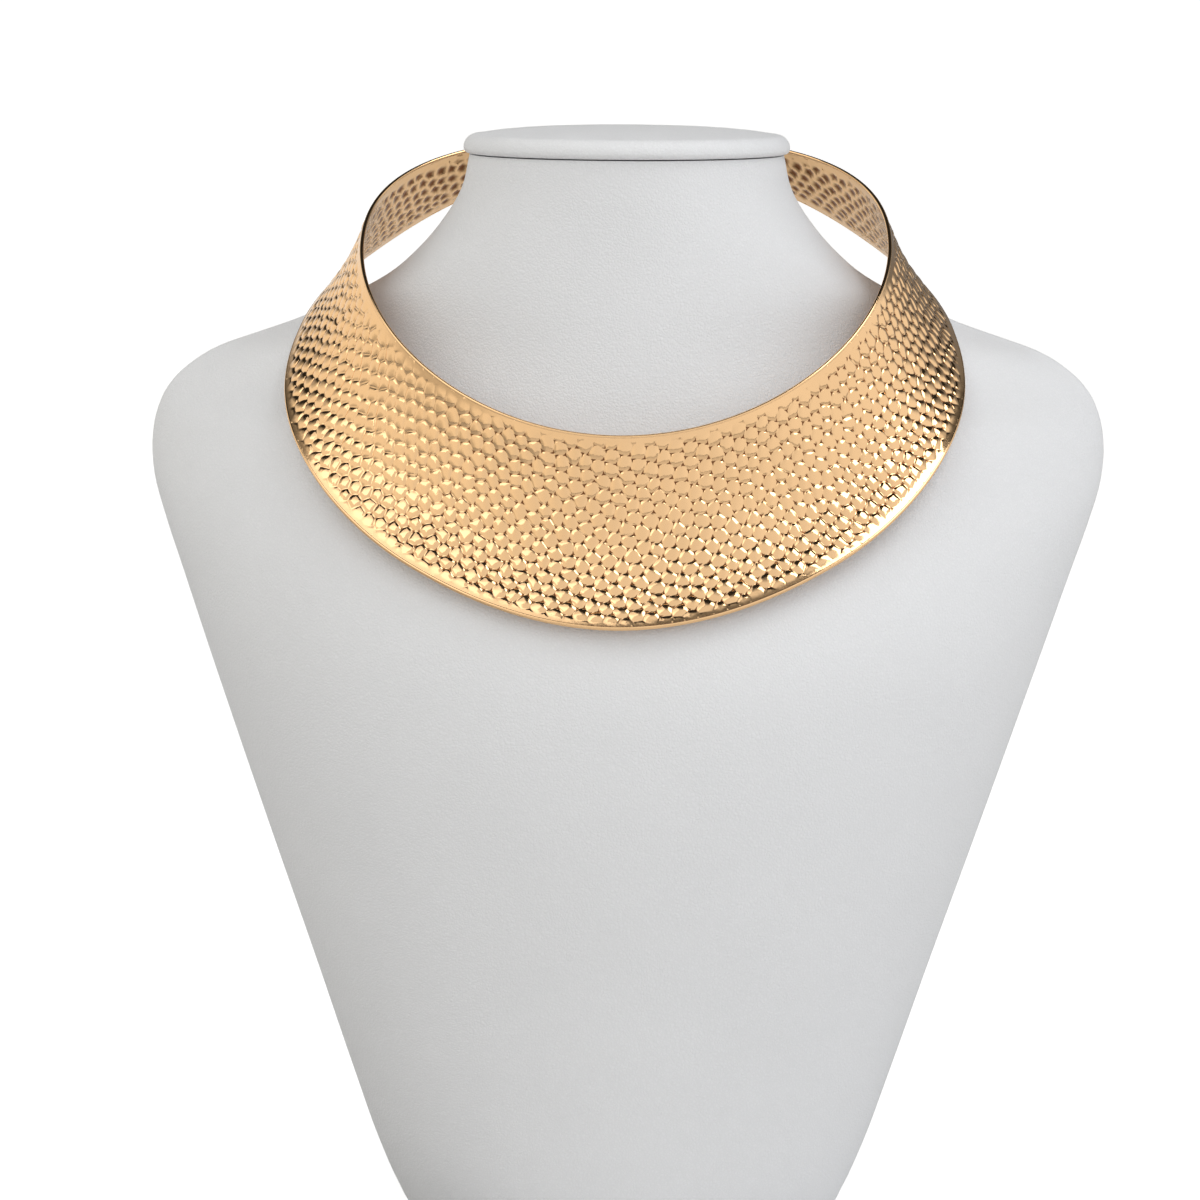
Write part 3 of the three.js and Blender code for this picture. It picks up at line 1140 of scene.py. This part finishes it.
def floor_material():
    """Pale matt floor: white to the eye, and a little darker close in and on the left for its bounce."""
    material, tree, shader = blank_material("pale_floor")
    place = add_node(tree, "ShaderNodeTexCoord", {})
    away = add_node(tree, "ShaderNodeVectorMath", {}, [(0, place.outputs["Object"])], operation="LENGTH")
    reach = add_node(
        tree,
        "ShaderNodeMapRange",
        {"From Min": 0.12, "From Max": 0.4, "To Min": 0.82, "To Max": 0.97},
        [("Value", away.outputs["Value"])],
        interpolation_type="SMOOTHSTEP",
    )
    flat = add_node(tree, "ShaderNodeVectorMath", {}, [(0, place.outputs["Object"])], operation="NORMALIZE")
    left = add_node(
        tree,
        "ShaderNodeVectorMath",
        {1: facing(-72, 0)},
        [(0, flat.outputs["Vector"])],
        operation="DOT_PRODUCT",
    )
    drop = add_node(
        tree,
        "ShaderNodeMapRange",
        {"From Min": 0.7, "From Max": 0.95, "To Min": 1.0, "To Max": 0.65},
        [("Value", left.outputs["Value"])],
        interpolation_type="SMOOTHSTEP",
    )
    front = add_node(
        tree,
        "ShaderNodeMath",
        {},
        [(0, reach.outputs["Result"]), (1, drop.outputs["Result"])],
        operation="MULTIPLY",
    )
    eye = add_node(tree, "ShaderNodeLightPath", {})
    shown = add_node(
        tree,
        "ShaderNodeMix",
        {"B": 0.9},
        [("Factor", eye.outputs["Is Camera Ray"]), ("A", front.outputs["Value"])],
    )
    colour = add_node(tree, "ShaderNodeCombineColor", {}, [(i, shown.outputs["Result"]) for i in range(3)])
    tree.links.new(colour.outputs["Color"], shader.inputs["Base Color"])
    glow = add_node(
        tree, "ShaderNodeMath", {1: 0.62}, [(0, eye.outputs["Is Camera Ray"])], operation="MULTIPLY"
    )
    tree.links.new(glow.outputs["Value"], shader.inputs["Emission Strength"])
    shader.inputs["Emission Color"].default_value = (1, 1, 1, 1)
    shader.inputs["Roughness"].default_value = 0.9
    return material


class STUDIO_OT_stage(bpy.types.Operator):
    """Sets the floor, the soft lights, the pale room and the camera"""

    bl_idname = "studio.stage"
    bl_label = "Studio"

    def execute(self, context):
        settings = context.scene.studio_settings
        bpy.ops.object.select_all(action="DESELECT")
        bpy.ops.mesh.primitive_plane_add(size=40, location=(0, 0, -0.0002))
        floor = context.active_object
        floor.name = "studio_floor"
        floor.data.materials.append(floor_material())
        aim = (0, 0, 0.19)
        soft_light("key_right", Vector(aim) + facing(76, 60) * 1.6, aim, (0.75, 0.75), settings.key)
        soft_light("fill_left", Vector(aim) + facing(-60, 62) * 2.2, aim, (1.5, 1.5), settings.fill)
        studio_world(settings.surround)
        context.scene.view_settings.view_transform = "Standard"
        studio_camera(context.scene)
        return {"FINISHED"}


CAMERA_PLACE = (0.0289, -1.2999, 0.302)
CAMERA_LENS = 169.2
CAMERA_HEADING = math.radians(1.52)
CAMERA_PITCH = math.radians(6.85)
CAMERA_ROLL = math.radians(0.3)


def studio_camera(scene):
    """A long lens a little above the cap, almost square to the bust."""
    data = bpy.data.cameras.new("camera")
    data.sensor_width = 36
    data.lens = CAMERA_LENS
    data.clip_start, data.clip_end = 0.05, 60
    camera = bpy.data.objects.new("camera", data)
    scene.collection.objects.link(camera)
    camera.location = CAMERA_PLACE
    tipped = Matrix.Rotation(math.pi / 2 - CAMERA_PITCH, 3, "X")
    turned = Matrix.Rotation(CAMERA_HEADING, 3, "Z") @ tipped
    camera.rotation_euler = (turned @ Matrix.Rotation(CAMERA_ROLL, 3, "Z")).to_euler()
    scene.camera = camera


# ---------------------------------------------------------------- panel and registration


class COLLAR_PT_panel(bpy.types.Panel):
    """Shows the settings of the collar, the bust and the studio, and a button for each step"""

    bl_label = "Collar on bust"
    bl_idname = "COLLAR_PT_panel"
    bl_space_type = "VIEW_3D"
    bl_region_type = "UI"
    bl_category = "Collar"

    def draw(self, context):
        layout = self.layout
        for name in ("collar_settings", "bust_settings", "studio_settings"):
            settings = getattr(context.scene, name)
            for prop in settings.bl_rna.properties:
                if prop.identifier not in ("rna_type", "name"):
                    layout.prop(settings, prop.identifier)
        for idname in STEPS:
            layout.operator(idname)


STEPS = ("collar.finishes", "collar.sheet", "collar.rims", "bust.body", "bust.cap", "studio.stage")
CLASSES = (
    CollarSettings,
    BustSettings,
    StudioSettings,
    COLLAR_OT_finishes,
    COLLAR_OT_sheet,
    COLLAR_OT_rims,
    BUST_OT_body,
    BUST_OT_cap,
    STUDIO_OT_stage,
    COLLAR_PT_panel,
)


def register():
    for cls in CLASSES:
        bpy.utils.register_class(cls)
    bpy.types.Scene.collar_settings = PointerProperty(type=CollarSettings)
    bpy.types.Scene.bust_settings = PointerProperty(type=BustSettings)
    bpy.types.Scene.studio_settings = PointerProperty(type=StudioSettings)


def unregister():
    for name in ("collar_settings", "bust_settings", "studio_settings"):
        delattr(bpy.types.Scene, name)
    for cls in reversed(CLASSES):
        bpy.utils.unregister_class(cls)


def main():
    register()
    for step in STEPS:
        area, name = step.split(".")
        getattr(getattr(bpy.ops, area), name)()


if __name__ == "__main__":
    main()
